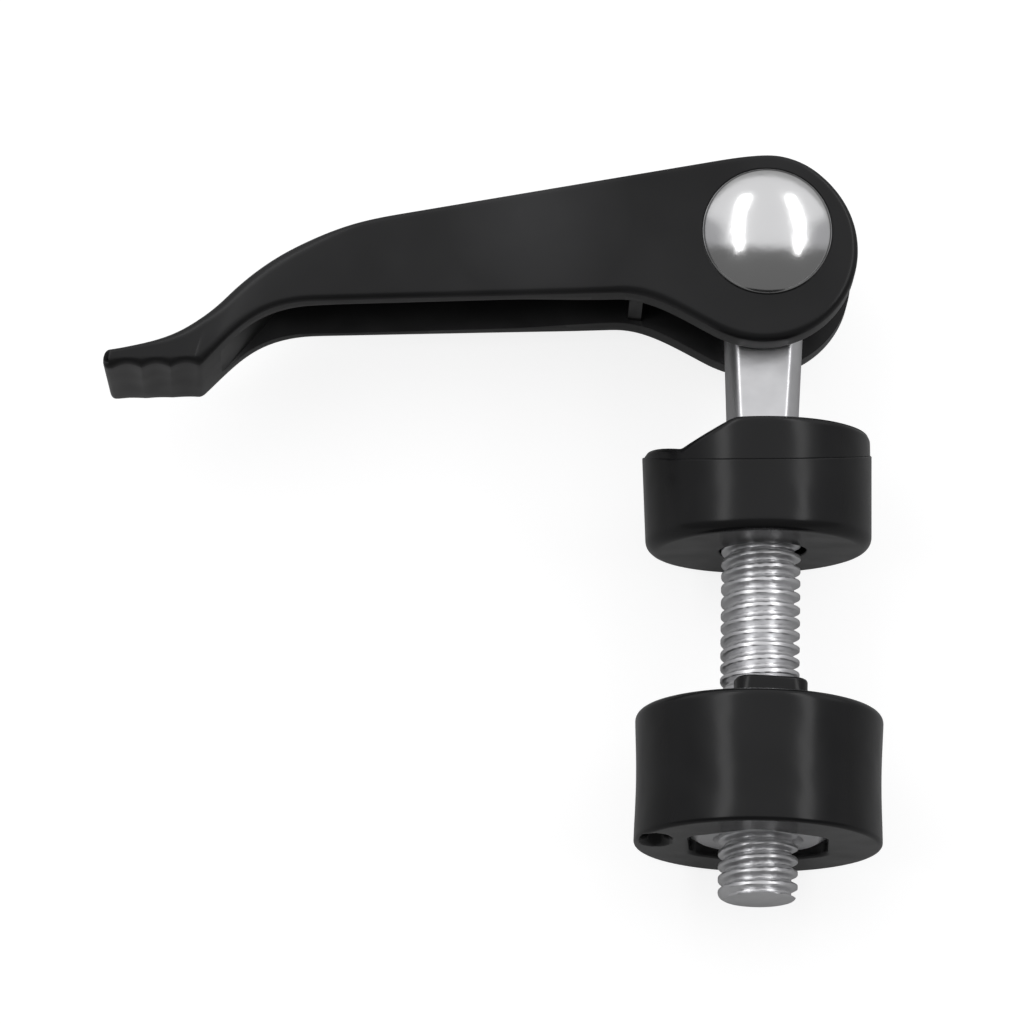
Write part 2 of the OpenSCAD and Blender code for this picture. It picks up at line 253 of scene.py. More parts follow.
def fade(x, stretch):
    """Eases from 0 to 1 over a stretch, given by its two ends."""
    return ease((x - stretch[0]) / (stretch[1] - stretch[0]))


def corner(centre, radius, start, end, n=7):
    """Quarter round of a section: a circle's arc about a centre."""
    return np.asarray(centre) + arc(radius, start, end, n)


def soft_min(a, b, width):
    """The lower of two heights, with a round fillet of about a width where they cross."""
    h = np.clip(0.5 + 0.5 * (b - a) / width, 0, 1)
    return b + (a - b) * h - width * h * (1 - h)


# Meshes


def grid_faces(rows, cols, wrap_rows=False, wrap_cols=False):
    """Index quads that join each point of a grid to the next in both directions."""
    r = np.arange(rows if wrap_rows else rows - 1)[:, None]
    c = np.arange(cols if wrap_cols else cols - 1)[None, :]
    r1, c1 = (r + 1) % rows, (c + 1) % cols
    quads = np.stack([r * cols + c, r1 * cols + c, r1 * cols + c1, r * cols + c1], axis=-1)
    return quads.reshape(-1, 4)


class Skin:
    """Collects grids of points and joins them into one closed mesh."""

    def __init__(self):
        self.points, self.faces, self.total = [], [], 0

    def grid(self, points, wrap_rows=False, wrap_cols=False):
        rows, cols = points.shape[:2]
        self.faces += (self.total + grid_faces(rows, cols, wrap_rows, wrap_cols)).tolist()
        self.points.append(points.reshape(-1, 3))
        self.total += rows * cols
        return self

    def lid(self, ring):
        """Closes a flat ring of points with one face."""
        self.faces.append(list(range(self.total, self.total + len(ring))))
        self.points.append(ring)
        self.total += len(ring)
        return self

    def make(self, name):
        mesh = bpy.data.meshes.new(name)
        mesh.from_pydata(np.vstack(self.points), [], self.faces)
        bm = bmesh.new()
        bm.from_mesh(mesh)
        bmesh.ops.remove_doubles(bm, verts=bm.verts, dist=0.0005 * MM)
        bmesh.ops.recalc_face_normals(bm, faces=bm.faces)
        bm.to_mesh(mesh)
        bm.free()
        piece = bpy.data.objects.new(name, mesh)
        bpy.context.scene.collection.objects.link(piece)
        return piece


def around_bolt(section, turns):
    """Turns a section (distance from the axis, height) about the bolt's axis: angle by point."""
    t = turns[:, None]
    r, y = section[None, :, 0], section[None, :, 1] + 0 * t
    return np.stack([r * np.sin(t), y, r * np.cos(t)], axis=-1)


def around_rivet(section, turns, pivot_y):
    """Turns a section (distance from the axis, place along +Z) about the rivet's axis."""
    t = turns[:, None]
    r, z = section[None, :, 0], section[None, :, 1] + 0 * t
    return np.stack([r * np.cos(t), pivot_y + r * np.sin(t), z], axis=-1)


def full_turn(n):
    return np.linspace(0, 2 * math.pi, n, endpoint=False)


def prism(outline, low, high):
    """Closed bar between two heights on Z, from an outline in X and Y."""
    rings = [np.column_stack([outline, np.full(len(outline), z)]) for z in (low, high)]
    return Skin().grid(np.stack(rings), wrap_cols=True).lid(rings[0]).lid(rings[1])


def upright_loft(outlines, heights):
    """Closed bar along Y through a row of outlines in Z and X, each at its own height."""
    rings = [np.column_stack([line[:, 1], np.full(len(line), y), line[:, 0]])
             for line, y in zip(outlines, heights)]
    return Skin().grid(np.stack(rings), wrap_cols=True).lid(rings[0]).lid(rings[-1])


def round_corners(centres, middles, spread, radius, n=6):
    """Outline with a circle's arc about each corner's centre, spread each way from its middle."""
    return np.vstack([corner(c, radius, m - spread, m + spread, n)
                      for c, m in zip(centres, middles)])


def cut(piece, cutter, operation="DIFFERENCE"):
    """Joins a second solid to a piece or cuts it away, then removes the second."""
    step = piece.modifiers.new("cut", "BOOLEAN")
    step.operation = operation
    step.solver = "EXACT"
    step.object = cutter
    settle(piece)
    bpy.data.objects.remove(cutter)


def soften(piece, width, segments=2):
    """Bevels all edges that turn by more than the crease angle."""
    step = piece.modifiers.new("edges", "BEVEL")
    step.width = width
    step.segments = segments
    step.limit_method = "ANGLE"
    step.angle_limit = CREASE
    settle(piece)


def settle(piece):
    """Puts the result of a piece's modifiers into its mesh."""
    scene_now = bpy.context.evaluated_depsgraph_get()
    mesh = bpy.data.meshes.new_from_object(piece.evaluated_get(scene_now))
    mesh.name = piece.name
    piece.modifiers.clear()
    piece.data = mesh


def finish_piece(piece, material, body, node):
    """Gives a piece its finish, its body and the node that it stands for."""
    piece.data.materials.clear()
    piece.data.materials.append(material)
    piece.data.shade_smooth()
    piece.data.set_sharp_from_angle(angle=SHARP)
    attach(piece, body)
    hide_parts(node)


# Shader maths


class Value:
    """Wraps a socket, so that operators on values add Math nodes."""

    def __init__(self, build, socket):
        self.build, self.socket = build, socket

    def _math(self, operation, *others):
        return self.build.node("ShaderNodeMath", {"operation": operation}, [self, *others])

    def __add__(self, other):
        return self._math("ADD", other)

    __radd__ = __add__

    def __rsub__(self, other):
        return self.build.node("ShaderNodeMath", {"operation": "SUBTRACT"}, [other, self])

    def __mul__(self, other):
        return self._math("MULTIPLY", other)

    def over(self, low, high):
        """Rises evenly from 0 at low to 1 at high, and is held outside them."""
        return self.build.node("ShaderNodeMapRange", {"clamp": True},
                               {"Value": self, "From Min": low, "From Max": high})


class Build:
    """Adds nodes to a material's or the world's tree."""

    def __init__(self, tree):
        self.tree = tree
        tree.nodes.clear()

    def node(self, kind, settings=None, inputs=None, out=0):
        made = self.tree.nodes.new(kind)
        for key, value in (settings or {}).items():
            setattr(made, key, value)
        pairs = inputs.items() if isinstance(inputs, dict) else enumerate(inputs or [])
        for key, value in pairs:
            if isinstance(value, Value):
                self.tree.links.new(value.socket, made.inputs[key])
            else:
                made.inputs[key].default_value = value
        return Value(self, made.outputs[out])

    def mix(self, factor, a, b):
        return self.node("ShaderNodeMix", {"data_type": "RGBA"},
                         {0: factor, 6: a, 7: b}, out=2)

    def noise(self, place, scale, detail=2.0, rough=0.5):
        return self.node("ShaderNodeTexNoise", None,
                         {"Vector": place, "Scale": scale, "Detail": detail, "Roughness": rough})

    def place(self):
        return self.node("ShaderNodeTexCoord", out="Object")

    def bump(self, height, depth, strength=1.0, **under):
        return self.node("ShaderNodeBump", None,
                         {"Strength": strength, "Distance": depth, "Height": height, **under})

    def vector(self, operation, a, b):
        """Number that Vector Math gives for two vectors."""
        return self.node("ShaderNodeVectorMath", {"operation": operation}, [a, b], out="Value")

    def ray(self, kind):
        """1 for the rays of a kind, such as Is Camera Ray, and 0 for all others."""
        return self.node("ShaderNodeLightPath", out=kind)

    def end(self, shader, kind="Material"):
        """Joins a shader to the tree's output."""
        made = self.tree.nodes.new(f"ShaderNodeOutput{kind}")
        self.tree.links.new(shader.socket, made.inputs["Surface"])

    def principled(self, base, rough, normal, **others):
        """Ends the tree in one Principled shader."""
        self.end(self.node("ShaderNodeBsdfPrincipled", None,
                           {"Base Color": base, "Roughness": rough, "Normal": normal, **others}))


def rgba(shade):
    return (*shade, 1.0)


def new_material(name):
    material = bpy.data.materials.new(name)
    material.use_nodes = True
    return material, Build(material.node_tree)


# Painted highlight, a lighter round spot of sheen: the stretch over which it fades, and its middle
# on the lever

SHEEN_SPOT_FADE = 1.5 * MM, 7 * MM
LEVER_SHEEN_SPOT = -17 * MM, 24 * MM, 5.5 * MM


def moulding_material(name, gloss, seed, haze_share=0.3, sheen_spot=(0, 0, 0), sheen_share=0.0):
    """Black moulded plastic: flow marks, a fine grain, grey haze and one lighter round spot, a
    painted highlight.
    """
    shades = sizes("finishes")
    material, build = new_material(name)
    place = build.node("ShaderNodeMapping", None,
                       {"Vector": build.place(), "Location": (seed, seed, seed)})
    flow = build.noise(place, 90.0)
    grain = build.noise(place, 5200.0, 2.0, 0.6)
    rubbed = build.noise(place, 300.0, 1.0)
    haze = build.noise(place, 75.0).over(0.1, 0.8)
    sink = build.noise(place, 130.0)
    far = build.vector("DISTANCE", build.place(), sheen_spot)
    # Haze and rubbed wear are random tone; the round spot lightens the colour as a painted
    # highlight of sheen.
    cloud = haze * haze_share + rubbed * 0.12 + (1 - far.over(*SHEEN_SPOT_FADE)) * sheen_share
    base = build.mix(cloud, rgba(shades.moulding), rgba(shades.moulding_haze_and_sheen))
    rough = gloss - 0.06 + flow * 0.1 + rubbed * 0.06
    fine = build.bump(grain, 0.006 * MM, 0.25, Normal=build.bump(sink, 0.25 * MM))
    build.principled(base, rough, fine, IOR=1.35)
    return material


def zinc_material(name, rough=0.29):
    """Bright plated steel: cloudy plating over a fine rolled grain."""
    shades = sizes("finishes")
    material, build = new_material(name)
    place = build.place()
    cloud = build.noise(place, 500.0).over(0.1, 0.9)
    base = build.mix(cloud, rgba(shades.zinc_dull), rgba(shades.zinc))
    normal = build.bump(build.noise(place, 1500.0), 0.03 * MM, 0.4)
    build.principled(base, rough + (1 - cloud) * 0.1, normal, Metallic=1.0)
    return material


def polished_material(name):
    """Polished steel head with faint smears and shallow waves."""
    shades = sizes("finishes")
    material, build = new_material(name)
    place = build.place()
    smear = build.noise(place, 350.0, 3.0, 0.6)
    normal = build.bump(build.noise(place, 420.0, 3.0), 0.06 * MM, 0.6)
    build.principled(rgba(shades.polished), 0.13 + smear * 0.12, normal, Metallic=1.0)
    return material


# The lever's outline about its pivot: angles, places along X and stretches where shapes fade

CAM_RISE_FROM = math.radians(52)
CAM_RISE_TO = math.radians(-100)
CAM_END = math.radians(-118)
CAM_TOP = math.radians(82)
CAM_BACK = math.radians(-12)
TAIL_ANGLE = math.radians(46)
TIP_ANGLE = math.radians(9.5)
ROOT_ANGLE = math.radians(46)
RIDGE_ANGLE = math.radians(36.4)
RIDGE = np.array([-37.84, -6.43]) * MM
RIDGE_FILLET = 0.15 * MM
RIDGE_ENDS = -34 * MM, -30 * MM
BEND = np.array([9.1, -5.66]) * MM
CROWN = -3.8 * MM, -2.4 * MM
KNEE = 11.2 * MM
HEAD = -3 * MM
HEAD_STARTS = -13 * MM, -9 * MM
SKEW_STARTS = -16 * MM, -6 * MM
HANDLES = {"tip": 3.8, "bend low": 4, "bend high": 3.2, "arm top": 6.8, "cam top": 1.2,
           "arm under": 4.6, "root": 3.4, "cam end": 3.2, "knee": 2.6}

# Distances and stretches from the thumb tip

NOSE = 0.45 * MM
TIP_CORNER = 0.6 * MM
GROOVE_FROM = 0.72 * MM
TAB = 7.25 * MM
TAB_ENDS = 6.8 * MM, 8.8 * MM
FINE_TO = 9 * MM
TAPER = 3.5 * MM, 14 * MM
TAIL = 15.6 * MM
TAIL_TOP = 21.5 * MM
TAIL_STARTS = 2 * MM, 6 * MM
TAIL_ENDS = 14 * MM, 19 * MM
LEAN_STARTS = 3 * MM, 11 * MM
SKEW_ENDS = 0, 5 * MM
THIN_TO = 20 * MM

# Grooves: how far up they reach, and their share at the far side

GROOVE_RISE = 0.7 * MM
GROOVE_FAR = 0.12

# The tail's inner bend: how far its line is carried on below the tab, and its fillet there

ROOT_PAST = 3 * MM
ROOT_FILLET = 0.3 * MM

# Long edges: their limit is a share of the thickness, and the underside adds to it

THIN = 0.9 * MM
EDGE_EXTRA = 0.15 * MM
EDGE_MOST = 0.4
EDGE_MOST_UNDER = 0.16

# Rounding of the far lower edge along X, in parts of the edge's own

FAR_EDGE = ((-49.2, 1.9), (-46, 1.5), (-42.5, 2), (-40, 1.6), (-33, 1.9), (-27, 1.5), (-20, 1),
            (-14, 0.5), (-8, 0.5), (-3, 0.9))

# The arm's channel

CHANNEL_FROM = 8.2 * MM
MOUTH_CURVE = 0.11 / MM
MOUTH_FILLET = 0.4 * MM
MOUTH_ROUND = 3 * MM
MOUTH_DRAW = MM
MOUTH_WALL = 0.5 * MM
MOUTH_ENDS = -39 * MM, -31 * MM
ROOT_STARTS = -19.5 * MM, -11.5 * MM
OVERCUT = 0.05 * MM

# The head's slot, hole and inner bosses

SLOT_FROM = math.radians(142)
SLOT_PAST = 2 * MM
EYE_PLAY = 0.35 * MM
STOP_PLAY = 0.2 * MM
BOSS = 2 * MM
BOSS_PLAY = 0.1 * MM
BOSS_SUNK = 0.15 * MM
HOLE_PLAY = 0.02 * MM
LEVER_CREASE = 0.08 * MM


def handle(name, angle):
    """Step from the end of a curve to its control point."""
    return HANDLES[name] * MM * heading(angle)


class LeverOutline:
    """Top and bottom edges of the lever seen from its side, with the pivot at the origin."""

    def __init__(self, s):
        self.s = s
        self.tip = -s.reach
        self.tab_y = -s.tab_drop

    def on_top(self, x):
        return np.array([x, self.s.top_height + x * math.tan(self.s.top_slope)])

    def on_under(self, x):
        return np.array([x, -self.s.under_depth + x * math.tan(self.s.under_slope)])

    def cam(self, start, end, n):
        """Cam radius eases from the low to the high radius between two angles."""
        a = np.linspace(start, end, n)
        rise = ease((CAM_RISE_FROM - a) / (CAM_RISE_FROM - CAM_RISE_TO))
        return arc(self.s.cam_low + (self.s.cam_high - self.s.cam_low) * rise, start, end, n)

    def tail_top(self, n):
        bend = np.array([self.tip, 0]) + BEND
        end = self.on_top(self.tip + TAIL_TOP)
        return bezier([bend, bend + handle("bend high", TAIL_ANGLE),
                       end - handle("arm top", self.s.top_slope), end], n)

    def top(self):
        """Upper edge from the thumb tip over tail, arm and crown to the back of the cam."""
        bend = np.array([self.tip, 0]) + BEND
        start = np.array([self.tip, self.tab_y + self.s.tab_thickness])
        tab = bezier([start, start + handle("tip", TIP_ANGLE),
                      bend - handle("bend low", TAIL_ANGLE), bend], 60)
        meet = self.cam(CAM_TOP, CAM_TOP, 1)[0]
        crown = bezier([*(self.on_top(x) for x in CROWN),
                        meet - handle("cam top", CAM_TOP - math.pi / 2), meet], 20)
        return np.vstack([tab, self.tail_top(60)[1:], crown,
                          self.cam(CAM_TOP, CAM_BACK, 120)[1:]])

    def bottom(self):
        """Lower edge from the tab's root, carried on below the tab, to the back of the cam."""
        slope = self.s.under_slope
        root = np.array([self.tip + TAB, self.tab_y + TAB * math.tan(self.s.tab_slope)])
        start, knee = self.on_under(self.tip + TAIL), self.on_under(-KNEE)
        inside = bezier([start, start - handle("arm under", slope),
                         root + handle("root", ROOT_ANGLE), root], 60)
        end = arc(self.s.cam_high, CAM_END, CAM_END, 1)[0]
        bend = bezier([end, end - handle("cam end", CAM_END + math.pi / 2),
                       knee + handle("knee", slope), knee], 40)
        return np.vstack([root - ROOT_PAST * heading(ROOT_ANGLE), inside[::-1], bend[::-1][:-1],
                          arc(self.s.cam_high, CAM_END, CAM_RISE_TO, 20),
                          self.cam(CAM_RISE_TO, CAM_BACK, 80)[1:]])

    def groove(self, x, z):
        """Depth of the finger grooves: three bows in a row that die out towards the far side."""
        s = self.s
        t = np.clip((x - self.tip - GROOVE_FROM) / (TAB - GROOVE_FROM), 0, 1)
        bow = np.abs(np.sin(math.pi * s.grooves * t))
        share = GROOVE_FAR + (1 - GROOVE_FAR) * ease(z / s.tab_width + 0.5)
        return s.groove_depth * bow * share

    def stations(self):
        """Places along X, close together where the outline turns round its two ends."""
        back = self.cam(CAM_BACK, CAM_BACK, 1)[0, 0]
        nose = self.tip + NOSE * (1 - np.cos(np.linspace(0, math.pi / 2, 9)))
        tab = np.linspace(nose[-1], self.tip + FINE_TO, 90)
        arm = np.linspace(tab[-1], HEAD, 110)
        head = HEAD + (back - HEAD) * np.sin(np.linspace(0, math.pi / 2, 56))
        return np.concatenate([nose[:-1], tab[:-1], arm[:-1], head])

    def edges(self):
        """Top and bottom heights at the stations, with a round nose at the thumb tip."""
        x = self.stations()
        up, down = self.top(), self.bottom()
        top = np.interp(x, up[:, 0], up[:, 1])
        bottom = np.interp(x, down[:, 0], down[:, 1])
        level = self.tab_y + (x - self.tip) * math.tan(self.s.tab_slope)
        bottom = -soft_min(-bottom, -level, ROOT_FILLET)
        t = np.clip((x - self.tip) / NOSE, 0, 1)
        round_off = np.sqrt(np.clip(1 - (1 - t) ** 2, 0, 1))
        middle = self.tab_y + self.s.tab_thickness * 0.5
        top = np.where(t < 1, middle + (top - middle) * round_off, top)
        bottom = np.where(t < 1, middle + (bottom - middle) * round_off, bottom)
        top[-1] = bottom[-1] = (top[-1] + bottom[-1]) / 2
        return x, top, bottom

    def half_width(self, x, inset=0.0):
        """Half the lever's width: full over the arm and head, drawn in over the tail."""
        s = self.s
        full = fade(x - self.tip, TAPER)
        half = (s.tab_width + (s.width - s.tab_width) * full) / 2 - inset
        c = np.clip((x - self.tip) / TIP_CORNER, 0, 1)
        return half - TIP_CORNER * (1 - np.sqrt(1 - (1 - c) ** 2))

    def edge_radii(self, x, under, thick):
        """Rounding of the near and far long edges, eased between tab, tail, arm and head.

        Under is the share of each point that belongs to the underside, from 0 to 1.
        """
        s = self.s
        d = x - self.tip
        tab = 1 - fade(d, TAB_ENDS)
        tail = fade(d, TAIL_STARTS) * (1 - fade(d, TAIL_ENDS))
        low = s.edge + (s.tab_edge - s.edge) * tab + EDGE_EXTRA * fade(x, HEAD_STARTS)
        high = s.edge - EDGE_EXTRA * tab + (s.tail_edge - s.edge) * tail
        far_low = s.edge * np.interp(x / MM, *zip(*FAR_EDGE))
        room = np.where(d < THIN_TO, np.maximum(thick, THIN), s.width)
        most = (EDGE_MOST + EDGE_MOST_UNDER * under) * room
        return [np.minimum(top + (bottom - top) * under, most)
                for top, bottom in ((high, low), (s.edge, far_low))]


def shifted(path, distance):
    """Path moved to its right-hand side by a distance."""
    along = np.gradient(path, axis=0)
    along /= np.linalg.norm(along, axis=1, keepdims=True)
    return path + distance * np.column_stack([along[:, 1], -along[:, 0]])


def lever_shell(outline, pivot_y):
    """Lever's outer skin: its outline carried across, drawn in round the long edges."""
    s = outline.s
    x, top, bottom = outline.edges()
    n = len(x)
    loop = np.vstack([np.column_stack([x, top]), np.column_stack([x, bottom])[-2:0:-1]])
    thick = np.concatenate([top - bottom, (top - bottom)[-2:0:-1]])
    along = np.roll(loop, -1, axis=0) - np.roll(loop, 1, axis=0)
    along /= np.linalg.norm(along, axis=1, keepdims=True)
    inward = np.column_stack([along[:, 1], -along[:, 0]])
    half = outline.half_width(loop[:, 0])
    radii = outline.edge_radii(loop[:, 0], ease(0.5 + inward[:, 1]), thick)
    rings = []
    for side, edge in zip((1, -1), radii):
        for a in np.linspace(math.pi / 2, 0, 8)[::side]:
            flat = loop + inward * (edge * (1 - math.cos(a)))[:, None]
            rings.append(np.column_stack([flat, side * (half - edge + edge * math.sin(a))]))
    middle = len(rings) // 2
    inner = [rings[middle - 1] + (rings[middle] - rings[middle - 1]) * t
             for t in np.linspace(0, 1, 13)[1:-1]]
    rings = rings[:middle] + inner + rings[middle:]
    skin = Skin().grid(np.stack(rings), wrap_cols=True)
    for ring in (rings[0], rings[-1]):
        upper = ring[:n]
        lower = np.vstack([ring[:1], ring[n:][::-1], ring[n - 1:n]])
        share = np.linspace(0, 1, 25)[:, None, None]
        skin.grid(upper * (1 - share) + lower * share)
    for points in skin.points:
        shape_tail(outline, points, np.interp(points[:, 0], x, bottom))
        points[:, 1] += pivot_y
    return skin


def shape_tail(outline, points, bottom):
    """Grooves under the tab, a ridge on the near side of the tail and a skewed tip and head.

    Above the ridge the side leans inwards, the grooves lift the points near the lower edge, and
    tip and head fall back by an even share from their near to their far side.
    """
    s = outline.s
    x, y, z = points.T.copy()
    d = x - outline.tip
    points[:, 1] += outline.groove(x, z) * np.clip(1 - (y - bottom) / GROOVE_RISE, 0, 1)
    above = y - RIDGE[1] - (x - RIDGE[0]) * math.tan(RIDGE_ANGLE)
    above = -soft_min(-above, 0 * above, RIDGE_FILLET) * math.cos(RIDGE_ANGLE)
    reach = (1 - fade(x, RIDGE_ENDS)) * fade(d, LEAN_STARTS)
    near = np.clip(z / (s.width / 2), 0, 1) ** 3
    points[:, 2] -= math.tan(s.lean) * above * reach * near
    points[:, 0] += s.skew * (1 - fade(d, SKEW_ENDS)) * (0.5 - z / s.tab_width)
    points[:, 0] -= s.head_skew * fade(x, SKEW_STARTS) * (0.5 - z / s.width)


def channel_cutter(outline, pivot_y):
    """Hollow of the arm: a slow ramp in the tail, the web's underside, then the rib's edge."""
    s = outline.s
    end, near = -s.rib_place - s.rib / 2, -s.rib_place + s.rib / 2
    x_all, _, under = outline.edges()
    start = outline.tip + CHANNEL_FROM
    ceiling = shifted(outline.tail_top(60), s.web)
    last = outline.on_top(end) - [0, s.web / math.cos(s.top_slope)]
    x = np.linspace(start, end, 110)
    mouth = np.interp(x, x_all, under) + MOUTH_CURVE * (x - start) ** 2 - 0.6 * OVERCUT
    roof = np.interp(x, np.append(ceiling[:, 0], last[0]), np.append(ceiling[:, 1], last[1]))
    edge_x = np.array([end + 0.2 * OVERCUT, near + OVERCUT])
    edge_y = np.interp(edge_x, x_all, under) + s.rib_recess
    y = np.concatenate([soft_min(mouth, roof, MOUTH_FILLET), edge_y])
    x = np.concatenate([x, edge_x])
    floor = np.full(len(x), outline.tab_y - MM)
    wall = s.wall + (s.wall_root - s.wall) * fade(x, ROOT_STARTS)
    wall += MOUTH_WALL * (1 - fade(x, MOUTH_ENDS))
    t = np.clip((x - start) / MOUTH_ROUND, 0, 1)
    half = outline.half_width(x, wall) - MOUTH_DRAW * (1 - np.sqrt(1 - (1 - t) ** 2))
    rings = [np.column_stack([np.append(x, x[::-1]), np.append(y, floor) + pivot_y,
                              side * np.append(half, half[::-1])]) for side in (-1, 1)]
    skin = Skin().grid(np.stack(rings), wrap_cols=True)
    n = len(x)
    for ring in rings:
        skin.grid(np.stack([ring[:n], ring[n:][::-1]]))
    return skin


def slot_cutter(outline, pivot_y, eye_radius):
    """Slot for the eye: a round seat about the pivot, open below and behind to the stop."""
    s = outline.s
    bolt = sizes("bolt")
    stop = bolt.neck / 2 + STOP_PLAY
    near = -s.rib_place + s.rib / 2
    far = s.cam_high + SLOT_PAST
    low = -s.cam_high - SLOT_PAST
    roof = outline.on_top(near)[1] - s.web / math.cos(s.top_slope)
    seat = arc(eye_radius, SLOT_FROM, math.asin(stop / eye_radius), 30)
    path = np.vstack([[near, low], [near, roof], seat, [far, stop], [far, low]])
    path[:, 1] += pivot_y
    half = s.width / 2 - s.cheek
    return prism(path, -half, half)


def round_bar(radius, low, high, pivot_y):
    """Closed round bar about the rivet's axis."""
    return prism(arc(radius, 0, 2 * math.pi, 97)[:-1] + [0, pivot_y], low, high)


class CLAMP_OT_lever(bpy.types.Operator):
    """Builds the cam lever: forked head, channel arm with its rib, and the grooved thumb tab"""
    bl_idname = "clamp.lever"
    bl_label = "Cam Lever"

    def execute(self, context):
        s, bolt, rivet = sizes("lever"), sizes("bolt"), sizes("rivet")
        outline = LeverOutline(s)
        y = bolt.pivot_height
        lever = lever_shell(outline, y).make("lever_moulding")
        cut(lever, channel_cutter(outline, y).make("channel"))
        cut(lever, slot_cutter(outline, y, bolt.eye / 2 + EYE_PLAY).make("slot"))
        soften(lever, s.lip, 3)
        inner = bolt.eye_thickness / 2 + BOSS_PLAY
        outer = s.width / 2 - s.cheek + BOSS_SUNK
        for side in (-1, 1):
            low, high = sorted((side * inner, side * outer))
            boss = round_bar(rivet.shank / 2 + BOSS, low, high, y)
            cut(lever, boss.make("boss"), "UNION")
        hole = round_bar(rivet.shank / 2 + HOLE_PLAY, -s.width, s.width, y)
        cut(lever, hole.make("hole"))
        sunk = round_bar(rivet.dome / 2 + rivet.gap, s.width / 2 - rivet.sunk, s.width, y)
        cut(lever, sunk.make("sunk"))
        soften(lever, LEVER_CREASE)
        # The lever's near side carries the painted highlight spot.
        black = moulding_material("lever_black", 0.3, 0.1, 0.45, LEVER_SHEEN_SPOT, 0.6)
        finish_piece(lever, black, "lever", "cam_lever")
        return {"FINISHED"}


DOME_EDGE = 0.05 * MM, 0.04 * MM
HEAD_EDGE = 0.15 * MM
HEAD_ROUND = 0.6
DISH = 0.16 * MM
DISH_ENDS = 0.3, 0.18


class CLAMP_OT_rivet(bpy.types.Operator):
    """Builds the pivot rivet with its polished dome and its closed far head"""
    bl_idname = "clamp.rivet"
    bl_label = "Pivot Rivet"

    def execute(self, context):
        s, lever, bolt = sizes("rivet"), sizes("lever"), sizes("bolt")
        face = lever.width / 2
        rim_top = face + s.rim
        cap = s.dome_height - s.rim
        r = s.dome / 2
        ball = (cap * cap + r * r) / (2 * cap)
        rise = np.linspace(0, math.asin(r / ball), 40)
        dome = np.column_stack([ball * np.sin(rise), rim_top + cap - ball * (1 - np.cos(rise))])
        dome[-1] -= [DOME_EDGE[0], 0]
        h, hr = s.closed_height, s.closed_head / 2
        low = -face - h
        soft = h * HEAD_ROUND
        section = np.vstack([
            dome,
            [[r, rim_top - DOME_EDGE[1]], [r, face - s.sunk], [s.shank / 2, face - s.sunk]],
            [[s.shank / 2, -face], [hr - HEAD_EDGE, -face], [hr, -face - DISH * 0.75]],
            corner((hr - soft, low + soft), soft, 0, -math.pi / 2, 9),
            [[hr * DISH_ENDS[0], low], [hr * DISH_ENDS[1], low + DISH * 0.75], [0, low + DISH]],
        ])
        grid = around_rivet(section, full_turn(160), bolt.pivot_height)
        rivet = Skin().grid(grid, wrap_rows=True)
        finish_piece(rivet.make("rivet_steel"), polished_material("rivet_polish"), "lever",
                     "pivot_rivet")
        return {"FINISHED"}


# The thread's crest, flanks and wobble in parts of a pitch, its runout in turns, and the round
# and slope of its end in parts of the end's chamfer

CREST = 0.22
FLANKS = 0.66
WOBBLE = 0.035
WOBBLE_CLIMB = 1.7
RUNOUT = 1.4
END_CHAMFER = 0.5 * MM
END_ROUND = 0.8
END_SLOPE = 0.16

# How far below the pivot the neck ends, and the heights between which its flats close in

NECK_END = 2.6 * MM
FLATS = 7.8 * MM, 9.7 * MM
FLAT_CUT = 0.9 * MM
FLAT_FILLET = 0.12 * MM

# How far the eye stands past the neck's flats, and the rounding of its rim and bore

EYE_PAST = 0.02 * MM
EYE_EDGE = 0.35 * MM
BORE_EDGE = 0.2 * MM


def thread_rows(s):
    """Threaded shank: the radius follows a rounded tooth that climbs one pitch in a turn."""
    rows_a_pitch, cols = 16, 96
    top = s.thread_rise
    y = np.linspace(-s.drop, top, int((s.drop + top) / s.pitch * rows_a_pitch) + 1)[:, None]
    t = full_turn(cols)[None, :]
    wobble = WOBBLE * np.sin(2 * t + WOBBLE_CLIMB * y / s.pitch)
    turn = (y / s.pitch - t / (2 * math.pi) + s.phase + wobble) % 1
    tooth = 1 - ease((np.abs(turn - 0.5) * 2 - CREST) / FLANKS)
    crest, root, plain = s.thread / 2, s.root / 2, s.shank / 2
    run = ease((top - y) / (RUNOUT * s.pitch))
    r = plain + (root + (crest - root) * tooth - plain) * run
    climb = (y + s.drop) / END_CHAMFER
    bow = 1 - np.sqrt(np.clip(1 - (1 - np.clip(climb, 0, 1)) ** 2, 0, 1))
    lid = crest - END_CHAMFER * (END_ROUND * bow + END_SLOPE * (1 - climb))
    r = np.where(climb < 1, np.minimum(r, lid), r)
    return np.stack([r * np.sin(t), y + 0 * t, r * np.cos(t)], axis=-1)


def neck_rows(s):
    """Plain shank and neck: widens to the eye while two flats close in on it."""
    end = s.pivot_height - NECK_END
    y = np.linspace(s.thread_rise, end, 90)[:, None]
    t = full_turn(96)[None, :]
    top = s.pivot_height - math.sqrt((s.eye / 2) ** 2 - (s.neck / 2) ** 2)
    share = np.clip((y - s.neck_from) / (top - s.neck_from), 0, 1)
    r = s.shank / 2 + (s.neck - s.shank) / 2 * share
    flat = s.eye_thickness / 2 + FLAT_CUT * (1 - fade(y, FLATS))
    x, z = r * np.sin(t), r * np.cos(t)
    pressed = flat - np.clip(x - s.bevel_place, 0, None) * math.tan(s.bevel)
    z = np.sign(z) * soft_min(np.abs(z), pressed, FLAT_FILLET)
    return np.stack([x, y + 0 * x, z], axis=-1)


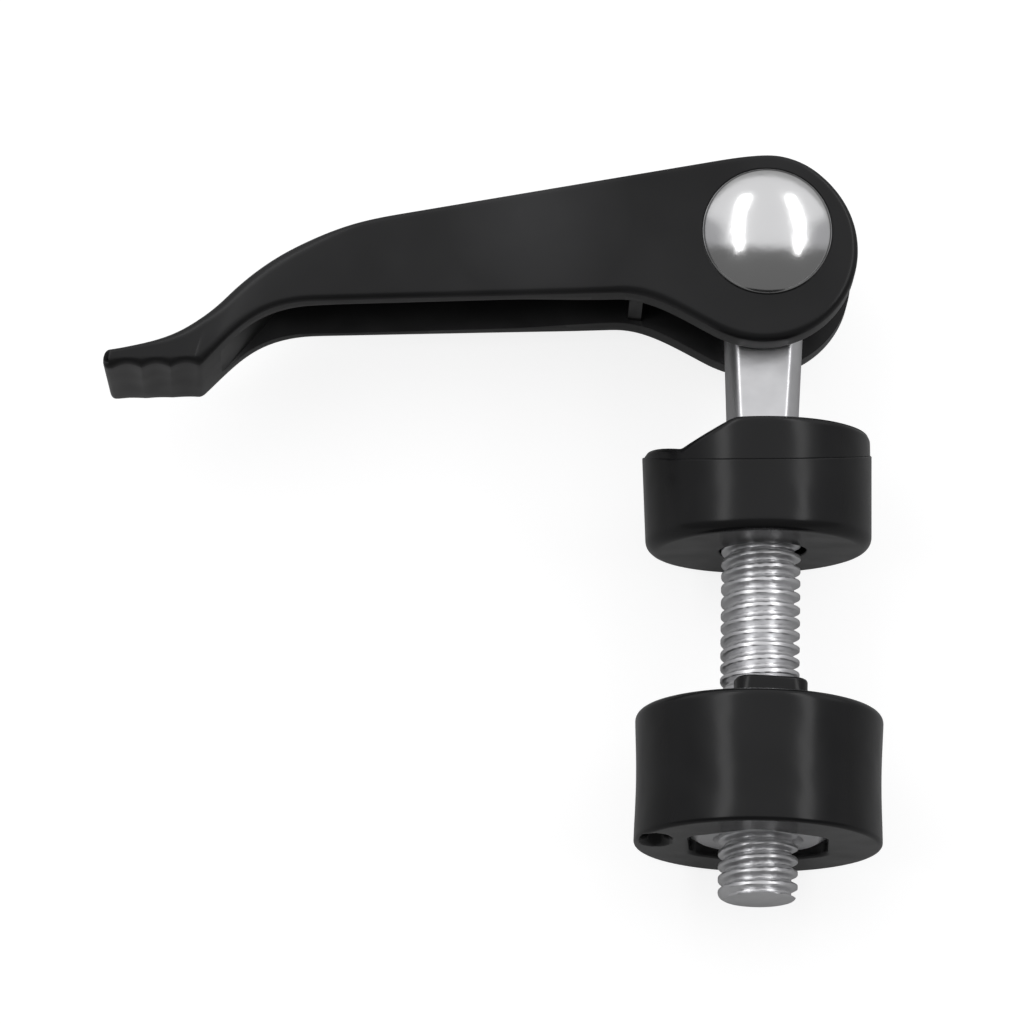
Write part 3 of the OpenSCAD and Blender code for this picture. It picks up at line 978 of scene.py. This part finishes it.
class CLAMP_OT_bolt(bpy.types.Operator):
    """Builds the eye bolt: rolled thread, plain shank, flattened neck and pressed eye"""
    bl_idname = "clamp.bolt"
    bl_label = "Eye Bolt"

    def execute(self, context):
        s, rivet = sizes("bolt"), sizes("rivet")
        thread, neck = thread_rows(s), neck_rows(s)
        bolt = Skin().grid(np.concatenate([thread, neck[1:]]), wrap_cols=True)
        bolt.lid(thread[0]).lid(neck[-1])
        bolt = bolt.make("bolt_steel")
        half = s.eye_thickness / 2 + EYE_PAST
        outer = s.eye / 2 - EYE_EDGE, half - EYE_EDGE
        inner = rivet.shank / 2 + s.bore_play + BORE_EDGE, half - BORE_EDGE
        quarter = math.pi / 2
        section = np.vstack([
            corner(outer, EYE_EDGE, 0, quarter),
            corner(inner, BORE_EDGE, quarter, 2 * quarter, 4),
            corner((inner[0], -inner[1]), BORE_EDGE, 2 * quarter, 3 * quarter, 4),
            corner((outer[0], -outer[1]), EYE_EDGE, -quarter, 0),
        ])
        ring = around_rivet(section, full_turn(120), s.pivot_height)
        eye = Skin().grid(ring, wrap_rows=True, wrap_cols=True).make("eye")
        cut(bolt, eye, "UNION")
        finish_piece(bolt, zinc_material("bolt_zinc"), "bolt", "eye_bolt")
        return {"FINISHED"}


def disc_section(radius, height, bore, low_edge, high_edge, wall, chamfer=0.3 * MM):
    """Half section of a moulded disc, from the bore's lower edge round to its upper edge."""
    lead = 0.15 * MM
    quarter = math.pi / 2
    low = np.linspace(bore / 2 + chamfer, radius - low_edge, 34)[:-1]
    high = np.linspace(radius - high_edge, bore / 2 + lead, 30)[1:]
    inside = np.linspace(height - lead, chamfer, 8)
    return np.vstack([
        np.column_stack([low, 0 * low]),
        corner((radius - low_edge, low_edge), low_edge, -quarter, 0, 9),
        np.column_stack([0 * wall + radius, wall]),
        corner((radius - high_edge, height - high_edge), high_edge, 0, quarter, 8),
        np.column_stack([high, 0 * high + height]),
        np.column_stack([0 * inside + bore / 2, inside]),
    ])


PARTING_ROWS = np.array([-0.12, -0.07, -0.04, -0.02, 0, 0.02, 0.04, 0.07, 0.12]) * MM
PARTING_STEP = 0.05 * MM
PARTING_WIDTH = 0.035 * MM
PARTING_GROOVE = 0.035 * MM
NOTCH_FILLET = 0.1 * MM
NOTCH_RIM = 0.22 * MM


class CLAMP_OT_seat(bpy.types.Operator):
    """Builds the cam seat: a moulded disc with a notch across its top and a parting line"""
    bl_idname = "clamp.seat"
    bl_label = "Cam Seat"

    def execute(self, context):
        s = sizes("seat")
        radius, bore = s.diameter / 2, s.bore / 2
        mark = s.parting + PARTING_ROWS
        wall = np.concatenate([np.linspace(s.low_edge, mark[0], 30)[1:-1], mark,
                               np.linspace(mark[-1], s.height - s.edge, 22)[1:-1]])
        section = disc_section(radius, s.height, s.bore, s.low_edge, s.edge, wall, 0.08 * MM)
        points = around_bolt(section, full_turn(360))
        x, y, z = points[..., 0], points[..., 1], points[..., 2]
        outside = section[None, :, 0] > radius - 0.5 * s.edge
        off = y - s.parting
        pull = s.step * ease(off / PARTING_STEP + 0.5)
        pull += PARTING_GROOVE * np.exp(-(off / PARTING_WIDTH) ** 2)
        pull += s.draft * np.clip(-off / s.parting, 0, 1)
        away = (np.hypot(x, z) - bore) / (radius - bore)
        keep = 1 - np.where(outside, pull, s.draft * (off < 0)) * away / np.hypot(x, z)
        x, z = x * keep - s.offset * away, z * keep
        base = s.parting + s.parting_rise * (1 - np.abs(z) / radius)
        inner = s.height - s.notch_depth + (x + s.notch_place) * math.tan(s.notch_slope)
        outer = s.height - s.notch_depth - (x + s.notch_place) * math.tan(s.lip_slope)
        valley = -soft_min(-inner, -outer, NOTCH_FILLET)
        level = soft_min(valley, np.full_like(valley, s.height), NOTCH_RIM)
        shoulder = s.height - s.edge
        low = np.clip((y - s.low_edge) / (s.parting - s.low_edge), 0, 1)
        high = np.clip((y - s.parting) / (shoulder - s.parting), 0, 1)
        y = (np.minimum(y, s.low_edge) + (base - s.low_edge) * low
             + (level - s.edge - base) * high + np.maximum(y - shoulder, 0))
        placed = np.stack([x, y - s.height / 2, z], axis=-1)
        turn = Matrix.Rotation(s.side_lean, 3, "Z") @ Matrix.Rotation(s.near_lean, 3, "X")
        points = placed @ np.array(turn).T + [0, s.height / 2 - s.sag, 0]
        skin = Skin().grid(points, wrap_rows=True, wrap_cols=True)
        finish_piece(skin.make("seat_moulding"), moulding_material("seat_black", 0.21, 0.4),
                     "seat", "cam_seat")
        return {"FINISHED"}


GATE_X = -7.6 * MM
GATE_Z = 1.6 * MM
GATE_WIDTH = 1.3 * MM
GATE_LENGTH = 2.3 * MM
LUG_EDGE = 0.25 * MM
KNOB_CREASE = 0.12 * MM
NUT_CORNER = 0.5 * MM
NUT_SLOPE = math.tan(math.radians(30))
NUT_LEAD = np.array([[0, 0.45], [0.3, 0.04], [0.35, 0]]) * MM


def hexagon(across, turn, radius):
    """Rounded hexagon in Z and X, one of its corners towards +Z before it is turned."""
    a = full_turn(6) + turn
    reach = (across / 2 - radius) / math.cos(math.pi / 6)
    return round_corners(reach * np.stack([np.cos(a), np.sin(a)], axis=1), a, math.pi / 6, radius)


def lug_outline(s, inset):
    """Rounded rectangle in Z and X over both lugs, drawn in by a distance."""
    radius = s.lug_corner - inset
    z, x = s.lug_span / 2 - s.lug_corner, s.lug_width / 2 - s.lug_corner
    quarter = math.pi / 4
    centres = [(z, x), (-z, x), (-z, -x), (z, -x)]
    middles = [quarter, 3 * quarter, 5 * quarter, 7 * quarter]
    turn = np.array([[math.cos(s.lug_turn), math.sin(s.lug_turn)],
                     [-math.sin(s.lug_turn), math.cos(s.lug_turn)]])
    return round_corners(centres, middles, quarter, radius, 7) @ turn + [0, s.lug_place]


class CLAMP_OT_knob(bpy.types.Operator):
    """Builds the clamp knob: a moulded round knob with two lugs and a hexagon pocket"""
    bl_idname = "clamp.knob"
    bl_label = "Clamp Knob"

    def execute(self, context):
        s = sizes("knob")
        low = -s.gap - s.height
        wall = np.linspace(s.low_edge, s.height - s.edge, 40)[1:-1]
        section = disc_section(s.diameter / 2, s.height, s.bore, s.low_edge, s.edge, wall)
        share = np.clip(section[:, 1] / s.height, 0, 1)
        outside = section[:, 0] > s.diameter / 2 - s.edge
        section[:, 0] -= np.where(outside, s.waist * np.sin(math.pi * share) ** 1.5, 0)
        points = around_bolt(section, full_turn(300))
        gate = (((points[..., 0] - GATE_X) / GATE_WIDTH) ** 2
                + ((points[..., 2] - GATE_Z) / GATE_LENGTH) ** 2)
        dish = s.gate * ease(1 - gate)
        points[..., 1] += low + dish * (section[None, :, 1] < s.low_edge / 2)
        knob = Skin().grid(points, wrap_rows=True, wrap_cols=True).make("knob_moulding")
        turns = np.linspace(0, math.pi / 2, 6)
        lines = [lug_outline(s, LUG_EDGE * (1 - math.cos(a))) for a in (0, *turns)]
        rows = [-MM] + [s.lug_height - LUG_EDGE * (1 - math.sin(a)) for a in turns]
        cut(knob, upright_loft(lines, np.array(rows) - s.gap).make("lugs"), "UNION")
        circle = arc(s.bore / 2, 0, 2 * math.pi, 97)[:-1]
        cut(knob, upright_loft([circle] * 2, [low - MM, s.lug_height * 2 - s.gap]).make("bore"))
        across, rim = s.nut + 2 * s.pocket_play, s.pocket_rim
        flare = [across] + [across + 2 * rim * (1 - math.cos(a)) for a in turns]
        rows = [s.nut_recess + s.nut_height] + [rim - rim * math.sin(a) for a in turns]
        lines = [hexagon(w, s.nut_turn, s.pocket_corner) for w in flare + flare[-1:]]
        cut(knob, upright_loft(lines, low + np.array(rows + [-MM])).make("pocket"))
        soften(knob, KNOB_CREASE)
        finish_piece(knob, moulding_material("knob_black", 0.21, 0.7), "knob",
                     "clamp_knob")
        return {"FINISHED"}


class CLAMP_OT_nut(bpy.types.Operator):
    """Builds the steel nut in the knob, with its corners turned off at both ends"""
    bl_idname = "clamp.nut"
    bl_label = "Knob Nut"

    def execute(self, context):
        s = sizes("knob")
        t = full_turn(240)[:, None]
        sixth = math.pi / 3
        off = (t - s.nut_turn) % sixth - sixth / 2
        side = s.nut / 2 / np.cos(off)
        face = s.nut / 2 - NUT_CORNER
        bore = s.nut_bore / 2
        ring = face + (side - face) * np.linspace(0, 1, 8)
        flat = np.linspace(bore + NUT_LEAD[2, 0], face, 8)[:-1] + 0 * t
        r = np.hstack([bore + NUT_LEAD[:2, 0] + 0 * t, flat, ring])
        y = np.hstack([NUT_LEAD[:2, 1] + 0 * t, 0 * flat, (ring - face) * NUT_SLOPE])
        r = np.hstack([r, r[:, ::-1]])
        y = np.hstack([y, s.nut_height - y[:, ::-1]])
        y += -s.gap - s.height + s.nut_recess
        points = np.stack([r * np.sin(t), y, r * np.cos(t)], axis=-1)
        nut = Skin().grid(points, wrap_rows=True, wrap_cols=True).make("nut_steel")
        finish_piece(nut, zinc_material("nut_zinc", 0.33), "knob", "knob_nut")
        return {"FINISHED"}


# The paper's glow for the camera and for reflections, then the room: shades, and the stretches of
# a direction over which they change

PAPER_LIFT = 0.82
PAPER_UNSEEN = 0.06
ROOM = 0.7, 0.7, 0.71
ROOM_ASIDE = 0.36, 0.36, 0.37
ROOM_BELOW = 0.13, 0.13, 0.13
ROOM_LEAN = math.radians(16)
SIDES = 0.55, 0.8
OVERHEAD = 0.4, 0.55
HORIZON = -0.05, 0.1


def paper_material():
    """White paper: keeps the object's shadow, is white to the camera and dim to reflections."""
    shades = sizes("finishes")
    material, build = new_material("paper")
    paper = build.node("ShaderNodeBsdfDiffuse", None, {"Color": rgba(shades.paper)})
    unseen = build.ray("Is Glossy Ray") + build.ray("Is Transmission Ray")
    lift = build.ray("Is Camera Ray") * PAPER_LIFT + unseen * PAPER_UNSEEN
    glow = build.node("ShaderNodeEmission", None, {"Color": rgba((1, 1, 1)), "Strength": lift})
    build.end(build.node("ShaderNodeAddShader", None, [paper, glow]))
    return material


def studio_world():
    """Pale room: dim beyond the lamps at both sides and below the edge of the table."""
    world = bpy.data.worlds.new("studio")
    bpy.context.scene.world = world
    world.use_nodes = True
    build = Build(world.node_tree)
    way = build.node("ShaderNodeTexCoord", out="Generated")
    above = build.vector("DOT_PRODUCT", way, (0, math.cos(ROOM_LEAN), math.sin(ROOM_LEAN)))
    across = build.vector("DOT_PRODUCT", way, (1, 0, 0))
    aside = (across * across).over(*SIDES) * (1 - above.over(*OVERHEAD))
    room = build.mix(aside, rgba(ROOM), rgba(ROOM_ASIDE))
    room = build.mix(above.over(*HORIZON), rgba(ROOM_BELOW), room)
    shade = build.mix(build.ray("Is Camera Ray"), room, (1, 1, 1, 1))
    build.end(build.node("ShaderNodeBackground", None, {"Color": shade}), "World")


# Each lamp's name, turn in degrees and width

LAMPS = (("left_box", -36, 0.13), ("right_box", 42, 0.12))
LAMP_TILT = math.radians(20)
LAMP_DISTANCE = 0.55
LAMP_LENGTH = 0.8
LAMP_RADIANCE = 2.2
PAPER_REACH = 1.2


def soft_box(name, turn, width):
    """Soft upright lamp, turned from +Z to +X and tilted to +Y round the object."""
    way = Vector((math.sin(turn) * math.cos(LAMP_TILT), math.sin(LAMP_TILT),
                  math.cos(turn) * math.cos(LAMP_TILT)))
    light = bpy.data.lights.new(name, "AREA")
    light.shape = "RECTANGLE"
    light.size, light.size_y = width, LAMP_LENGTH
    light.energy = LAMP_RADIANCE * math.pi * width * LAMP_LENGTH
    lamp = bpy.data.objects.new(name, light)
    lamp.location = way * LAMP_DISTANCE
    right = Vector((0, 1, 0)).cross(way).normalized()
    lamp.rotation_euler = Matrix((right, way.cross(right), way)).transposed().to_euler()
    bpy.context.scene.collection.objects.link(lamp)


class CLAMP_OT_stage(bpy.types.Operator):
    """Builds the paper floor, the lamps, the room and the camera"""
    bl_idname = "clamp.stage"
    bl_label = "Stage"

    def execute(self, context):
        scene = context.scene
        low = CAD_BOUNDS[0][2] - 0.02 * MM
        corners = [(x * PAPER_REACH, y * PAPER_REACH, low)
                   for x, y in ((-1, -1), (1, -1), (1, 1), (-1, 1))]
        mesh = bpy.data.meshes.new("paper_floor")
        mesh.from_pydata(corners, [], [(0, 1, 2, 3)])
        floor = bpy.data.objects.new("paper_floor", mesh)
        scene.collection.objects.link(floor)
        floor.data.materials.append(paper_material())
        studio_world()
        for name, turn, width in LAMPS:
            soft_box(name, math.radians(turn), width)
        self.camera(scene)
        scene.view_settings.view_transform = "Standard"
        return {"FINISHED"}

    def camera(self, scene):
        """Camera that leans from +Z towards -Y and swings towards -X about its aim."""
        s = sizes("view")
        away = Vector((-math.sin(s.swing) * math.cos(s.tilt), -math.sin(s.tilt),
                       math.cos(s.swing) * math.cos(s.tilt)))
        right = Vector((math.cos(s.swing), 0, math.sin(s.swing)))
        up = away.cross(right)
        across = math.cos(s.roll) * right + math.sin(s.roll) * up
        over = away.cross(across)
        lens = bpy.data.cameras.new("view")
        lens.sensor_width = 36
        lens.lens = s.lens
        lens.clip_start = 0.05
        lens.clip_end = 10
        camera = bpy.data.objects.new("view", lens)
        turn = Matrix((across, over, away)).transposed()
        camera.matrix_world = Matrix.Translation(Vector(s.aim) + away * s.distance) @ turn.to_4x4()
        scene.collection.objects.link(camera)
        scene.camera = camera


class CLAMP_PT_panel(bpy.types.Panel):
    """Lists the builders of the clamp's pieces"""
    bl_idname = "CLAMP_PT_panel"
    bl_label = "Cam Lever Clamp"
    bl_space_type = "VIEW_3D"
    bl_region_type = "UI"
    bl_category = "Clamp"

    def draw(self, context):
        for builder in BUILDERS:
            self.layout.operator(builder.bl_idname)


GROUPS = {
    "clamp_lever": LeverSizes,
    "clamp_rivet": RivetSizes,
    "clamp_bolt": BoltSizes,
    "clamp_seat": SeatSizes,
    "clamp_knob": KnobSizes,
    "clamp_finishes": Finishes,
    "clamp_view": ViewSizes,
}
BUILDERS = (CLAMP_OT_lever, CLAMP_OT_rivet, CLAMP_OT_bolt, CLAMP_OT_seat, CLAMP_OT_knob,
            CLAMP_OT_nut, CLAMP_OT_stage)
CLASSES = (*GROUPS.values(), *BUILDERS, CLAMP_PT_panel)


def register():
    for cls in CLASSES:
        bpy.utils.register_class(cls)
    for name, group in GROUPS.items():
        setattr(bpy.types.Scene, name, PointerProperty(type=group))


def unregister():
    for name in GROUPS:
        delattr(bpy.types.Scene, name)
    for cls in reversed(CLASSES):
        bpy.utils.unregister_class(cls)


def main():
    register()
    for builder in BUILDERS:
        group, name = builder.bl_idname.split(".")
        getattr(getattr(bpy.ops, group), name)()


if __name__ == "__main__":
    main()
